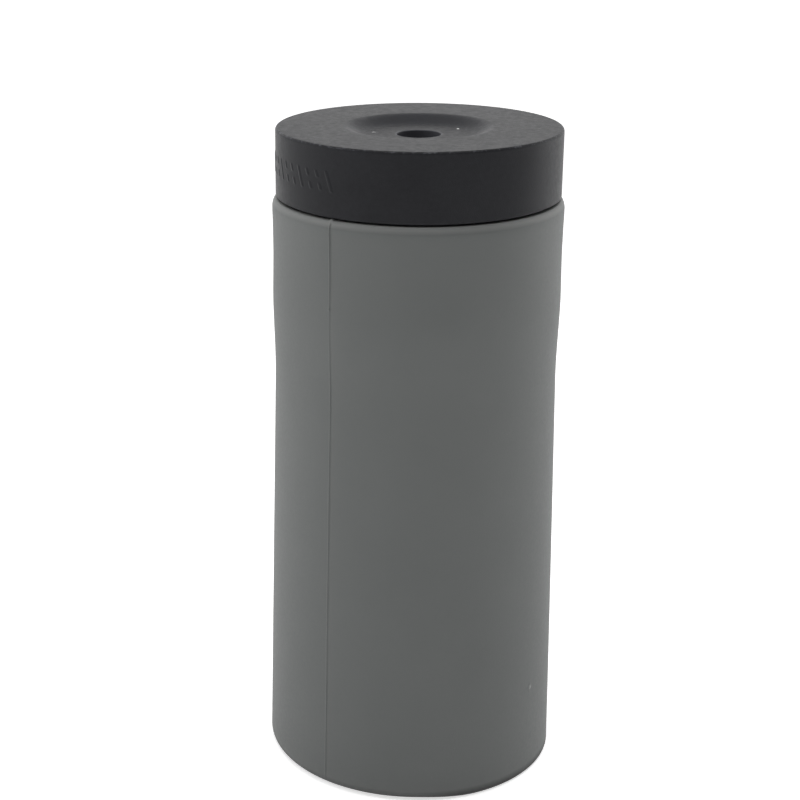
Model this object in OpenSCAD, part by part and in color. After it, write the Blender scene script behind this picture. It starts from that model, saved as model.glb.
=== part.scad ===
// Portable mini washer: a soft silicone tub closed by a plug-in drive head.
// The head holds two cells, a geared motor and a recessed push button,
// and turns a finned agitator that hangs down into the tub.
// Millimetres, +Z up, origin at the centre of the tub's underside, front towards -Y.

/* [Overall] */
// Diameter of the top cover
cover_d = 90; // [90:1:96]
// Height of the whole washer
total_h = 212; // [190:1:240]
// Height of the top cover's side wall
cover_h = 21.25; // [21.25:0.25:23]

/* [Tub] */
// Wall thickness of the soft tub
tub_wall = 3; // [2.6:0.1:3]
// How far the waist of the tub draws in from the plugged band
waist_in = 0.5; // [0.3:0.1:0.7]
// Radius of the rounding at the foot
foot_round = 3; // [2.5:0.5:6]
// Depth of the plug below the tub's lip
plug_depth = 35; // [35:0.5:38]

/* [Cover] */
// Radius of the finger dish at its upper edge
dish_r = 24; // [22:0.5:28]
// Depth of the finger dish
dish_depth = 2.6; // [1.8:0.1:2.7]
// Radius of the button's hole
button_hole_r = 6.85; // [6.4:0.05:7.2]
// Number of raised grip bars
grip_bars = 15; // [8:1:20]

/* [Agitator] */
// Sweep radius of the agitator
agitator_r = 24; // [20:0.5:28]
// Number of fins
agitator_fins = 3; // [2:1:4]

/* [Gears] */
// Module of the motor stage
fast_module = 0.6; // [0.6:0.1:0.6]
// Module of the output stage
slow_module = 0.8; // [0.8:0.1:0.8]

/* [Hidden] */
$fn = 96;

// ---- levels, from the table up ----
cover_r = cover_d / 2;
cover_z = total_h - cover_h;            // lower edge of the top cover
lip_gap = 0.85;                         // shadow gap between cover and tub
lip_z = cover_z - lip_gap;              // top of the tub's lip
plug_z = lip_z - plug_depth;            // underside of the plug
floor_t = 3.1;
floor_z = plug_z + floor_t;             // inner floor of the plug
flange_z = lip_z + 0.25;                // underside of the plug's flange
flange_t = 1.6;
seal_t = 0.8;
spigot_z = flange_z + flange_t + 1.45;  // top of the plug's spigot
plate_z = floor_z + 12;                 // underside of the gear plate
plate_t = 2.5;
board_z = floor_z + 36.55;              // underside of the control board
board_t = 1.6;
board_top = board_z + board_t;

// ---- radii of the tub and the plug ----
band_r = cover_r + 1;
lip_r = cover_r + 1.1;
waist_r = band_r - waist_in;
foot_r = cover_r + 2.85;
tub_floor = 3.6;
band_inner_r = band_r - tub_wall;
plug_r = cover_r - 3;
plug_wall = 2.2;
plug_inner_r = plug_r - plug_wall;
ring_r = band_inner_r - 0.25;
flange_r = cover_r - 1;
spigot_r = cover_r - 2.6;
cover_wall = 2.2;
cover_inner_r = cover_r - cover_wall;
rebate_r = flange_r + 0.2;
cover_t = 2.4;
running = 0.03;                         // radial clearance of a running fit

// ---- places of the inner pieces, in plan ----
screw_posts = [[12, 32.9], [12, -32.9], [-35, 0]];
plate_posts = [[0, 28], [0, -28], [30, 20], [30, -20]];
board_posts = [[30, 20], [30, -20], [-12, 33], [-12, -33]];
cell_places = [[-23.2, 16.2], [-23.2, -16.2]];
cell_r = 9.15;
cell_h = 34.35;
cell_z = floor_z + 1.15;

// ---- gears ----
pressure_angle = 25;
backlash = 0.12;
fast_teeth = [12, 48];                  // motor pinion, large idler wheel
slow_teeth = [14, 42];                  // small idler wheel, output gear
idler_x = slow_module * (slow_teeth[0] + slow_teeth[1]) / 2;
motor_dir = 122;                        // direction from the idler to the motor, in degrees
motor_reach = fast_module * (fast_teeth[0] + fast_teeth[1]) / 2;
motor_place = [idler_x + motor_reach * cos(motor_dir), motor_reach * sin(motor_dir)];
slow_z = floor_z + 2;
slow_w = 4.5;
fast_z = floor_z + 7;
fast_w = 4;

// ---- motor and shafts ----
motor_r = 12.2;
motor_h = 19.5;
motor_z = plate_z + plate_t;
motor_screw_reach = 8;
shaft_r = 2.5;
shaft_low = plug_z - 17.9;
shaft_top = plate_z + 5;
bearing_r = 5;
bearing_w = 4;
bearing_z = plug_z - 0.3;
seal_r = 5.2;
boss_z = plug_z - 4;                    // underside of the shaft boss
idler_pin_r = 1.5;

// ---- button ----
dish_z = total_h - dish_depth;
button_r = button_hole_r - 0.4;
button_top = dish_z - 3;
button_tube_z = dish_z - 5.5;
button_tube_r = button_hole_r + 1.35;
button_flange_r = button_hole_r + 1.45;
button_flange_t = 1.3;
button_flange_z = button_tube_z - 0.2 - button_flange_t;
button_travel = 1.2;
switch_h = 3;
switch_top = board_top + 4.3;
plunger_r = 1.75;
plunger_in = 0.6;                       // length of the plunger inside the switch at rest
stem_low = switch_top + 0.05;
guide_r = button_flange_r + 0.3;
spring_r = 6;
spring_wire = 0.35;
spring_turns = 4;

// ---- charging port, at the back ----
port_z = board_top + 1.63;              // centre of the socket
port_back = cover_r - 3.5;              // mouth of the socket
recess_y = cover_r - 2.5;
recess_half_x = 6.6;
recess_low = spigot_z + 0.7;
recess_high = recess_low + 7.3;
door_axis = [cover_r - 1.6, recess_low + 0.9];   // y and z of the hinge
door_relief = 0.75;                     // step below the recess that the open door swings into
door_half_x = recess_half_x - 0.3;
door_arm_w = 1;
door_pin_r = 0.5;
door_pin_out = 0.9;

// ---- agitator ----
agitator_top = boss_z - 0.9;
agitator_low = 30;
hub_r = 7.5;

// ---------------------------------------------------------------- helpers

// Points that run smoothly from a to b, level at both ends.
function ease(a, b, steps = 8) =
    [for (i = [0:steps]) let (t = i / steps)
        [a[0] + (b[0] - a[0]) * t * t * (3 - 2 * t), a[1] + (b[1] - a[1]) * t]];

// Points that run from a to b, with z eased and r even.
function ease_z(a, b, steps = 8) =
    [for (i = [0:steps]) let (t = i / steps)
        [a[0] + (b[0] - a[0]) * t, a[1] + (b[1] - a[1]) * t * t * (3 - 2 * t)]];

// Points on an arc about c.
function arc(c, r, from, to, steps = 8) =
    [for (i = [0:steps]) let (t = from + (to - from) * i / steps)
        [c[0] + r * cos(t), c[1] + r * sin(t)]];

module ring(outer, inner, height) {
    difference() {
        cylinder(r = outer, h = height);
        translate([0, 0, -1]) cylinder(r = inner, h = height + 2);
    }
}

module at(places, z) {
    for (p = places) translate([p[0], p[1], z]) children();
}

// A flat slot with round ends, long along x.
module slot_2d(length, width) {
    square([length - width, width], center = true);
    for (s = [-1, 1]) translate([s * (length - width) / 2, 0]) circle(d = width);
}

function involute(a) = tan(a) - a * PI / 180;

// Half the tooth's angle at radius r, in degrees.
function half_tooth(r, pitch_r, base_r, m) =
    let (half = (PI * m / 4 - backlash / 4) / pitch_r,
         a = acos(min(1, base_r / r)))
    (half + involute(pressure_angle) - involute(a)) * 180 / PI;

function polar(r, a) = [r * cos(a), r * sin(a)];

// Outline of an involute spur gear with a tooth on the x axis.
function gear_points(teeth, m, flank = 3) =
    let (pitch_r = m * teeth / 2, base_r = pitch_r * cos(pressure_angle),
         tip_r = pitch_r + m, root_r = pitch_r - 1.25 * m,
         start_r = max(base_r, root_r),
         root_half = half_tooth(start_r, pitch_r, base_r, m),
         radii = [for (i = [0:flank]) start_r + (tip_r - start_r) * i / flank])
    [for (k = [0:teeth - 1]) let (mid = 360 * k / teeth)
        each concat(
            [polar(root_r, mid - root_half - 0.01)],
            [for (r = radii) polar(r, mid - half_tooth(r, pitch_r, base_r, m))],
            [for (i = [flank:-1:0]) polar(radii[i], mid + half_tooth(radii[i], pitch_r, base_r, m))],
            [polar(root_r, mid + root_half + 0.01)])];

module gear(teeth, m, width) {
    linear_extrude(width) polygon(gear_points(teeth, m));
}

// ---------------------------------------------------------------- tub

function tub_outer(extra = 0) = concat(
    arc([foot_r - foot_round, foot_round], foot_round + extra, -90, 0, 10),
    [[waist_r + extra, lip_z - 58]],
    ease([waist_r + extra, lip_z - 56], [band_r + extra, lip_z - 34]),
    [[band_r + extra, lip_z - 10]],
    ease([band_r + extra, lip_z - 9], [lip_r + extra, lip_z - 3.4], 4));

module tub() {
    inner = concat(
        arc([band_inner_r + 0.6, lip_z - 0.6], 0.6, 90, 180, 4),
        ease([band_inner_r, lip_z - 36], [waist_r - tub_wall, lip_z - 58]),
        arc([foot_r - tub_wall - foot_round, tub_floor + foot_round], foot_round, 0, -90, 8),
        [[0, tub_floor]]);
    color("dimgray") {
        rotate_extrude()
            polygon(concat(
                [[0, 0.8], [30, 0.8], [31, 0]],
                tub_outer(),
                arc([lip_r - 1.6, lip_z - 1.6], 1.6, 0, 90, 5),
                inner));
        parting_ridges();
        fill_marks();
    }
}

// Fine flash ridges where the two mould halves met.
module parting_ridges() {
    ridge_dir = 235.4;
    ridge_w = 0.5;
    ridge_h = 0.28;
    for (turn = [ridge_dir, ridge_dir - 180])
        rotate([0, 0, turn - ridge_w / 2])
            rotate_extrude(angle = ridge_w)
                polygon(concat(
                    [for (p = tub_outer(ridge_h)) if (p[1] > foot_round) p],
                    [[band_r - 1, lip_z - 3.4], [waist_r - 1, foot_round + 1]]));
}

// Raised arcs inside the tub that show how far to fill it.
module fill_marks() {
    mark_w = 40;
    for (z = [lip_z - 70, lip_z - 110], turn = [-mark_w / 2, 180 - mark_w / 2])
        rotate([0, 0, turn])
            rotate_extrude(angle = mark_w)
                translate([waist_r - tub_wall - 0.5, z]) square([1.6, 0.8]);
}

// ---------------------------------------------------------------- top cover

module top_cover() {
    edge = 0.9;
    top = concat(
        [[button_hole_r, dish_z - 0.4], [button_hole_r + 0.4, dish_z]],
        ease_z([dish_r - 8, dish_z], [dish_r, total_h], 8),
        arc([cover_r - edge, total_h - edge], edge, 90, 0, 5),
        [[cover_r, cover_z + 0.4], [cover_r - 0.4, cover_z]]);
    under = [
        [rebate_r, cover_z],
        [rebate_r, flange_z + flange_t + seal_t],
        [cover_inner_r, flange_z + flange_t + seal_t],
        [cover_inner_r, total_h - cover_t - 2],
        [cover_inner_r - 2, total_h - cover_t],
        [dish_r + 2, total_h - cover_t],
        [dish_r - 6, dish_z - cover_t],
        [button_tube_r, dish_z - cover_t],
        [button_tube_r, button_tube_z],
        [button_hole_r, button_tube_z]];
    color([0.13, 0.13, 0.14])
        difference() {
            union() {
                rotate_extrude() polygon(concat(top, under));
                grip_pattern();
                at(screw_posts, floor_z + 28.1) cylinder(r = 3.6, h = total_h - cover_t - floor_z - 27.6);
                at(board_posts, board_top) cylinder(r = 2.6, h = total_h - cover_t - board_top + 0.5);
                port_pad();
            }
            at(screw_posts, floor_z + 27) cylinder(r = 1.55, h = 16);
            at(board_posts, board_top - 1) cylinder(r = 1.05, h = 8);
            port_recess();
            lamp_place() cylinder(r = 1.25, h = 10);
        }
}

// Low slanted bars on the left of the side wall, as a finger grip. Every third one is whole
// and the rest are broken in two.
module grip_pattern() {
    first = 160;
    last = 234;
    bar_w = 1;
    bar_len = 6.5;
    part_len = 2.4;
    proud = 0.2;
    slant = 20;
    for (i = [0:grip_bars - 1], part = i % 3 == 2 ? [[0, bar_len]] : [[-2, part_len], [2, part_len]])
        rotate([0, 0, first + (last - first) * i / (grip_bars - 1)])
            translate([cover_r - 0.6, 0, cover_z + cover_h / 2])
                rotate([slant, 0, 0])
                    translate([0, -bar_w / 2, part[0] - part[1] / 2]) cube([0.6 + proud, bar_w, part[1]]);
}

module port_pad() {
    translate([-8.5, cover_r - 4.4, spigot_z + 0.2]) cube([17, 2.6, 8.4]);
}

module port_recess() {
    translate([-recess_half_x, recess_y, recess_low])
        cube([2 * recess_half_x, 5, recess_high - recess_low]);
    translate([-recess_half_x, door_axis[0] - 0.5, recess_low - door_relief])
        cube([2 * recess_half_x, 5, door_relief + 0.1]);
    translate([0, cover_r - 6, port_z])
        rotate([-90, 0, 0]) linear_extrude(6) slot_2d(9.5, 3.8);
    translate([-door_half_x - door_pin_out - 0.1, door_axis[0], door_axis[1]])
        rotate([0, 90, 0])
            cylinder(r = door_pin_r + 0.06, h = 2 * (door_half_x + door_pin_out + 0.1), $fn = 48);
}

module lamp_place() {
    translate([0, 0, port_z]) rotate([0, 0, 108]) rotate([0, 90, 0])
        translate([0, 0, cover_inner_r - 2]) children();
}

module charge_lamp() {
    color("white") lamp_place() cylinder(r = 1.15, h = cover_wall + 1.9);
}

// ---------------------------------------------------------------- plug housing

module plug_housing() {
    round_r = 3;
    groove = 0.8;
    profile = concat(
        [[0, plug_z]],
        arc([plug_r - round_r, plug_z + round_r], round_r, -90, 0, 6),
        ring_groove(plug_z + 9, groove),
        ring_groove(plug_z + 24, groove),
        [[plug_r, flange_z], [flange_r, flange_z], [flange_r, flange_z + flange_t],
         [spigot_r, flange_z + flange_t], [spigot_r, spigot_z], [plug_inner_r, spigot_z],
         [plug_inner_r, floor_z], [0, floor_z]]);
    well_r = 3.2;
    well_top = floor_z + 25;
    color([0.16, 0.16, 0.17])
        difference() {
            union() {
                rotate_extrude() polygon(profile);
                translate([0, 0, boss_z]) cylinder(r = 7.6, h = floor_z - boss_z + 0.6);
                at(screw_posts, floor_z - 1) cylinder(r = 4.3, h = well_top + 4 - floor_z);
                at(plate_posts, floor_z - 1) cylinder(r = 3.2, h = plate_z - floor_z + 1);
                translate([idler_x, 0, floor_z - 1]) cylinder(r = 4, h = 2);
            }
            at(screw_posts, plug_z - 1) cylinder(r = well_r, h = well_top - plug_z + 1);
            at(screw_posts, plug_z) cylinder(r = 1.6, h = 40);
            at(plate_posts, plate_z - 7) cylinder(r = 1.05, h = 8);
            translate([idler_x, 0, floor_z - 1.8]) cylinder(r = idler_pin_r + 0.01, h = 5);
            translate([0, 0, boss_z - 1]) cylinder(r = seal_r, h = 4.2);
            translate([0, 0, boss_z]) cylinder(r = 3.4, h = 10);
            translate([0, 0, bearing_z]) cylinder(r = bearing_r, h = 10);
        }
}

function ring_groove(z, depth) =
    [[plug_r, z - 1.3], [plug_r - depth, z - 1.3], [plug_r - depth, z + 1.3], [plug_r, z + 1.3]];

module plug_rings() {
    color([0.3, 0.3, 0.31])
        for (z = [plug_z + 9, plug_z + 24])
            rotate_extrude()
                polygon(concat(
                    [[plug_r - 0.75, z - 1.2]],
                    arc([ring_r - 0.9, z], 0.9, -75, 75, 8),
                    [[plug_r - 0.75, z + 1.2]]));
}

module cover_seal() {
    color("gray")
        translate([0, 0, flange_z + flange_t]) ring(rebate_r - 0.1, cover_inner_r + 0.1, seal_t);
}

// A pan-head screw pointing up, with a cross recess in its head.
module screw(r, length, head_r, head_h) {
    difference() {
        union() {
            cylinder(r = r, h = length);
            translate([0, 0, -head_h]) cylinder(r = head_r, h = head_h);
        }
        for (turn = [0, 90]) rotate([0, 0, turn])
            translate([-head_r * 0.6, -r * 0.22, -head_h - 1])
                cube([head_r * 1.2, r * 0.44, 1 + head_h * 0.6]);
    }
}

module cover_screws() {
    color("silver") at(screw_posts, floor_z + 25) screw(1.5, 14, 2.9, 2);
}

module well_plugs() {
    color([0.3, 0.3, 0.31]) at(screw_posts, plug_z + 0.2) {
        cylinder(r = 3.15, h = 3);
        translate([0, 0, 3]) cylinder(r = 2.2, h = 2);
    }
}

// ---------------------------------------------------------------- gearbox

module gear_plate() {
    plate_r = plug_inner_r - 1.2;
    color("gainsboro")
        translate([0, 0, plate_z])
            difference() {
                intersection() {
                    cylinder(r = plate_r, h = plate_t);
                    translate([-9, -plate_r, 0]) cube([plate_r + 9, 2 * plate_r, plate_t]);
                }
                at(screw_posts, -1) cylinder(r = 5, h = plate_t + 2);
                at(plate_posts, -1) cylinder(r = 1.6, h = plate_t + 2);
                translate([0, 0, -1]) cylinder(r = bearing_r, h = plate_t + 2);
                translate([idler_x, 0, -1]) cylinder(r = idler_pin_r + 0.01, h = plate_t + 2);
                translate([motor_place[0], motor_place[1], -1]) cylinder(r = 3.6, h = plate_t + 2);
                motor_screw_places() translate([0, 0, -1]) cylinder(r = 1.1, h = plate_t + 2);
            }
}

module motor_screw_places() {
    for (s = [-1, 1])
        translate([motor_place[0], motor_place[1], 0]) rotate([0, 0, motor_dir + 90])
            translate([s * motor_screw_reach, 0, 0]) children();
}

module plate_screws() {
    color("silver") at(plate_posts, plate_z + plate_t) mirror([0, 0, 1]) screw(1, 8, 2, 1.4);
}

module motor_screws() {
    color("silver")
        motor_screw_places() translate([0, 0, plate_z]) screw(1, plate_t + 0.7, 1.7, 1.2);
}

module upper_bush() {
    color("darkgoldenrod")
        translate([0, 0, plate_z])
            difference() {
                union() {
                    cylinder(r = bearing_r, h = plate_t);
                    translate([0, 0, plate_t]) cylinder(r = bearing_r + 1, h = 0.8);
                }
                translate([0, 0, -1]) cylinder(r = shaft_r + running, h = 8);
            }
}

module lower_bearing() {
    shield = 0.25;
    color("lightgray")
        translate([0, 0, bearing_z])
            rotate_extrude()
                polygon([
                    [shaft_r + running, 0], [3.2, 0], [3.2, shield], [4.3, shield], [4.3, 0],
                    [bearing_r, 0], [bearing_r, bearing_w], [4.3, bearing_w],
                    [4.3, bearing_w - shield], [3.2, bearing_w - shield],
                    [3.2, bearing_w], [shaft_r + running, bearing_w]]);
}

module shaft_seal() {
    color([0.08, 0.08, 0.08])
        translate([0, 0, boss_z])
            rotate_extrude()
                polygon([
                    [3.4, 3.1], [3.4, 1.8], [shaft_r + 0.05, 1.2], [shaft_r + 0.05, 0.8],
                    [3.6, 0.2], [seal_r, 0.2], [seal_r, 3.1]]);
}

module idler_pin() {
    color("silver")
        translate([idler_x, 0, floor_z - 1.7])
            cylinder(r = idler_pin_r, h = plate_z + plate_t - floor_z + 1.7);
}

module idler_gear() {
    color("ivory")
        translate([idler_x, 0, 0])
            difference() {
                union() {
                    translate([0, 0, slow_z - 0.5]) rotate([0, 0, 180 / slow_teeth[0]])
                        gear(slow_teeth[0], slow_module, fast_z - slow_z + 0.6);
                    translate([0, 0, fast_z]) rotate([0, 0, motor_dir])
                        gear(fast_teeth[1], fast_module, fast_w);
                }
                translate([0, 0, slow_z - 2]) cylinder(r = idler_pin_r + running, h = 16);
            }
}

module output_gear() {
    color("ivory")
        difference() {
            union() {
                translate([0, 0, slow_z]) gear(slow_teeth[1], slow_module, slow_w);
                translate([0, 0, floor_z + 0.9]) cylinder(r = 6, h = 9.6);
            }
            translate([0, 0, floor_z]) cylinder(r = shaft_r + 0.01, h = 14);
            for (turn = [0:60:300]) rotate([0, 0, turn]) translate([10.8, 0, floor_z])
                cylinder(r = 2.6, h = 10);
        }
}

module output_shaft() {
    flat = 0.5;
    color("silver")
        difference() {
            translate([0, 0, shaft_low]) cylinder(r = shaft_r, h = shaft_top - shaft_low);
            translate([shaft_r - flat, -shaft_r, shaft_low - 1]) cube([2, 2 * shaft_r, 13]);
            translate([0, 0, plate_z + 3.5]) ring(shaft_r + 1, shaft_r - 0.4, 0.7);
        }
}

module shaft_clip() {
    color("darkslategray")
        translate([0, 0, plate_z + 3.55])
            difference() {
                cylinder(r = 4.4, h = 0.6);
                translate([0, 0, -1]) cylinder(r = shaft_r - 0.38, h = 3);
                translate([0, -1.6, -1]) cube([6, 3.2, 3]);
            }
}

// ---------------------------------------------------------------- motor

module at_motor(z = 0) {
    translate([motor_place[0], motor_place[1], z]) rotate([0, 0, motor_dir]) children();
}

module motor_can() {
    wall = 0.8;
    color("silver")
        at_motor(motor_z)
            difference() {
                union() {
                    cylinder(r = motor_r, h = motor_h);
                    translate([0, 0, -2]) cylinder(r = 3.5, h = 4);
                }
                translate([0, 0, wall]) difference() {
                    cylinder(r = motor_r - wall, h = motor_h);
                    cylinder(r = 3, h = 1.2);
                }
                translate([0, 0, -3]) cylinder(r = 1 + running, h = 8);
                for (s = [-1, 1]) translate([0, s * motor_screw_reach, -1]) cylinder(r = 1.02, h = 3);
                for (s = [-1, 1]) translate([s * 7, 0, -1]) cylinder(r = 1.6, h = 3);
            }
}

module motor_magnets() {
    inner = 9.3;
    outer = motor_r - 0.9;
    spread = 110;
    color([0.2, 0.2, 0.22])
        at_motor(motor_z + 2.2)
            for (turn = [0, 180]) rotate([0, 0, turn - spread / 2])
                rotate_extrude(angle = spread) translate([inner, 0]) square([outer - inner, 13]);
}

module motor_end_cap() {
    color("white")
        at_motor(motor_z + motor_h - 1.5)
            difference() {
                union() {
                    cylinder(r = motor_r - 0.85, h = 1.5);
                    translate([0, 0, 1.5]) cylinder(r = 3, h = 0.6);
                }
                translate([0, 0, -1]) cylinder(r = 1 + running, h = 2.4);
                for (s = [-1, 1]) translate([s * 8 - 1.1, -0.4, -1]) cube([2.2, 0.8, 4]);
            }
}

module motor_terminals() {
    low = motor_z + motor_h - 1.5;
    color("gold")
        at_motor(low)
            for (s = [-1, 1]) translate([s * 8 - 1, -0.25, 0]) cube([2, 0.5, board_top + 0.7 - low]);
}

// Three wound poles, a commutator and the motor's own shaft.
module armature() {
    poles = 3;
    color("peru")
        at_motor(0)
            union() {
                translate([0, 0, motor_z - 6.6]) cylinder(r = 1, h = motor_h + 5.6);
                translate([0, 0, motor_z + 2.6]) cylinder(r = 4, h = 12);
                for (k = [0:poles - 1]) rotate([0, 0, 360 * k / poles]) {
                    translate([3, -2.2, motor_z + 3]) cube([4.6, 4.4, 11]);
                    rotate([0, 0, -44]) rotate_extrude(angle = 88)
                        translate([7.2, motor_z + 3]) square([1.6, 11]);
                }
                translate([0, 0, motor_z + 14.5]) cylinder(r = 2.6, h = 3);
            }
}

module pinion() {
    color("gold")
        translate([motor_place[0], motor_place[1], fast_z - 0.3])
            difference() {
                rotate([0, 0, motor_dir + 180 - 180 / fast_teeth[0]])
                    gear(fast_teeth[0], fast_module, fast_w + 0.6);
                translate([0, 0, -1]) cylinder(r = 1.005, h = 8);
            }
}

// ---------------------------------------------------------------- battery

module battery_cells() {
    color("steelblue") at(cell_places, cell_z) {
        cylinder(r = cell_r, h = cell_h - 1);
        translate([0, 0, cell_h - 1]) cylinder(r = 3.6, h = 1);
    }
}

module battery_cradle() {
    wall = 1;
    color([0.1, 0.1, 0.1])
        difference() {
            union() {
                at(cell_places, floor_z + 0.1) cylinder(r = cell_r + wall, h = 20);
                translate([cell_places[0][0] - 1, -9, floor_z + 0.1]) cube([2, 18, 20]);
            }
            at(cell_places, floor_z + 0.9) cylinder(r = cell_r + 0.1, h = 21);
            at(cell_places, floor_z + 6) translate([-14, 0, 0]) rotate([0, 90, 0]) cylinder(r = 3.2, h = 10);
            translate([cell_places[0][0] - 3, -16, floor_z + 0.9]) cube([6, 32, 0.3]);
        }
}

module cell_contacts() {
    tab = 7;
    x = cell_places[0][0];
    top = cell_z + cell_h + 0.02;
    color("lightgray") {
        translate([x - 2.9, -16, floor_z + 0.92]) cube([5.8, 32, 0.2]);
        for (p = cell_places) translate([p[0], p[1], top]) {
            translate([-tab / 2, -tab / 2, 0]) cube([tab, tab, 0.25]);
            translate([tab / 2 - 0.3, -2, 0]) cube([0.3, 4, board_top + 0.7 - top]);
        }
    }
}

// ---------------------------------------------------------------- electronics

module control_board() {
    board_r = plug_inner_r - 1.6;
    color("darkgreen")
        translate([0, 0, board_z])
            difference() {
                cylinder(r = board_r, h = board_t);
                at(screw_posts, -1) cylinder(r = 4.3, h = 4);
                at(board_posts, -1) cylinder(r = 1.15, h = 4);
                at_motor(-1) for (s = [-1, 1]) translate([s * 8 - 1.4, -0.6, 0]) cube([2.8, 1.2, 4]);
                for (p = cell_places) translate([p[0] + 2.8, p[1] - 2.4, -1]) cube([1, 4.8, 4]);
            }
}

module board_screws() {
    color("silver") at(board_posts, board_z) screw(1, 6, 1.9, 1.3);
}

module board_chips() {
    color([0.07, 0.07, 0.08])
        translate([0, 0, board_top]) {
            translate([14, -18, 0]) cube([6, 5, 1.4]);
            translate([-4, 22, 0]) cube([4, 4, 1]);
            translate([-30, -4, 0]) cube([5, 8, 1.2]);
            translate([-10, -24, 0]) cube([6, 6, 2.8]);
            for (i = [0:4]) translate([4 + 2.4 * i, -26, 0]) cube([1.2, 2, 0.6]);
        }
}

module capacitor() {
    color("midnightblue") translate([22, 2, board_top]) {
        cylinder(r = 2.9, h = 7.2);
        translate([0, 0, 7.2]) cylinder(r = 2.5, h = 0.4);
    }
}

// A long-travel switch: its plunger stays under the button's stem and sinks into the body with it.
module tact_switch() {
    bore_z = board_top + switch_h - plunger_in - button_travel - 0.1;
    color([0.12, 0.12, 0.12])
        difference() {
            translate([-3, -3, board_top]) cube([6, 6, switch_h]);
            translate([0, 0, bore_z]) cylinder(r = plunger_r + 0.05, h = switch_h);
        }
}

module switch_plunger() {
    color("gray") translate([0, 0, board_top + switch_h - plunger_in])
        cylinder(r = plunger_r, h = switch_top - board_top - switch_h + plunger_in);
}

module usb_socket() {
    depth = 7.3;
    color("silver")
        translate([0, port_back, port_z]) rotate([90, 0, 0]) {
            linear_extrude(depth) difference() {
                slot_2d(8.94, 3.2);
                slot_2d(8.34, 2.6);
            }
            translate([0, 0, depth - 1.2]) linear_extrude(1.2) slot_2d(8.6, 2.9);
            translate([0, 0, 1.2]) linear_extrude(depth - 2) square([6.6, 0.7], center = true);
        }
}

// ---------------------------------------------------------------- button

module button_guide() {
    color("whitesmoke")
        translate([0, 0, board_top]) ring(guide_r + 1.5, guide_r, button_flange_z + 0.9 - board_top);
}

module power_button() {
    color([0.1, 0.1, 0.11])
        union() {
            translate([0, 0, button_flange_z]) cylinder(r = button_flange_r, h = button_flange_t);
            translate([0, 0, button_flange_z])
                rotate_extrude()
                    polygon(concat(
                        [[0, 0], [button_r, 0]],
                        arc([button_r - 0.5, button_top - button_flange_z - 0.5], 0.5, 0, 90, 4),
                        [[0, button_top - button_flange_z - 0.3]]));
            translate([0, 0, stem_low]) cylinder(r = 2, h = button_flange_z - stem_low + 0.5);
        }
}

// One ring of the spring's wire, at angle a and height z.
function wire_ring(a, z, sides) =
    [for (k = [0:sides - 1]) let (t = 360 * k / sides)
        [(spring_r + spring_wire * cos(t)) * cos(a),
         (spring_r + spring_wire * cos(t)) * sin(a),
         z + spring_wire * sin(t)]];

module button_spring() {
    sides = 6;
    rings = spring_turns * 16;
    low = board_top + spring_wire + 0.05;
    rise = button_flange_z - board_top - 2 * spring_wire - 0.1;
    points = [for (i = [0:rings])
        each wire_ring(360 * spring_turns * i / rings, low + rise * i / rings, sides)];
    skin = [for (i = [0:rings - 1], k = [0:sides - 1])
        let (a = i * sides + k, b = i * sides + (k + 1) % sides)
        each [[a, a + sides, b], [b, a + sides, b + sides]]];
    first = [[for (k = [0:sides - 1]) k]];
    last = [[for (k = [sides - 1:-1:0]) rings * sides + k]];
    color("silver") polyhedron(points, concat(skin, first, last));
}

// ---------------------------------------------------------------- port door

// A curved flap on two side ribs. It is thin and its hinge is behind its lower edge, so that
// an open flap lies below the socket and leaves room for the charging plug's grip.
module port_door() {
    y = door_axis[0];
    z = door_axis[1];
    low = z - 0.4;
    high = recess_high - 0.3;
    plate_y = y + 0.3;
    color([0.13, 0.13, 0.14])
        union() {
            intersection() {
                translate([0, 0, low]) cylinder(r = cover_r - 0.1, h = high - low, $fn = 480);
                translate([-door_half_x, plate_y, low]) cube([2 * door_half_x, 4, high - low]);
            }
            for (s = [-1, 1]) mirror([s < 0 ? 1 : 0, 0, 0]) {
                translate([door_half_x - door_arm_w, y - 0.5, z]) cube([door_arm_w, 1.3, 5]);
                translate([door_half_x - door_arm_w, y, z]) rotate([0, 90, 0]) {
                    cylinder(r = 0.7, h = door_arm_w, $fn = 48);
                    cylinder(r = door_pin_r, h = door_arm_w + door_pin_out, $fn = 48);
                }
            }
            translate([0, port_back + 0.2, port_z]) rotate([-90, 0, 0])
                linear_extrude(plate_y + 0.1 - port_back - 0.2) slot_2d(7.6, 2.1);
        }
}

// ---------------------------------------------------------------- agitator

module agitator() {
    disc_t = 3;
    hub = concat(
        [[0, agitator_low], [agitator_r - 1.5, agitator_low]],
        arc([agitator_r - 1.5, agitator_low + disc_t / 2], disc_t / 2, -90, 90, 6),
        ease([13, agitator_low + disc_t], [hub_r - 1.2, agitator_low + 18], 6),
        [[hub_r, agitator_top - 22], [hub_r, agitator_top - 0.8],
         [hub_r - 0.8, agitator_top], [0, agitator_top]]);
    color("gainsboro")
        difference() {
            union() {
                rotate_extrude() polygon(hub);
                for (k = [0:agitator_fins - 1]) rotate([0, 0, 360 * k / agitator_fins]) fin();
            }
            translate([0, 0, shaft_low - 0.2]) cylinder(r = shaft_r + 0.01, h = 20);
            translate([0, 0, agitator_top - 6]) rotate([0, 90, 0]) cylinder(r = 1.52, h = 10);
            for (k = [0:agitator_fins - 1]) rotate([0, 0, 360 * (k + 0.5) / agitator_fins])
                translate([17.5, 0, agitator_low - 1]) cylinder(r = 3, h = disc_t + 2);
        }
}

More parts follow.
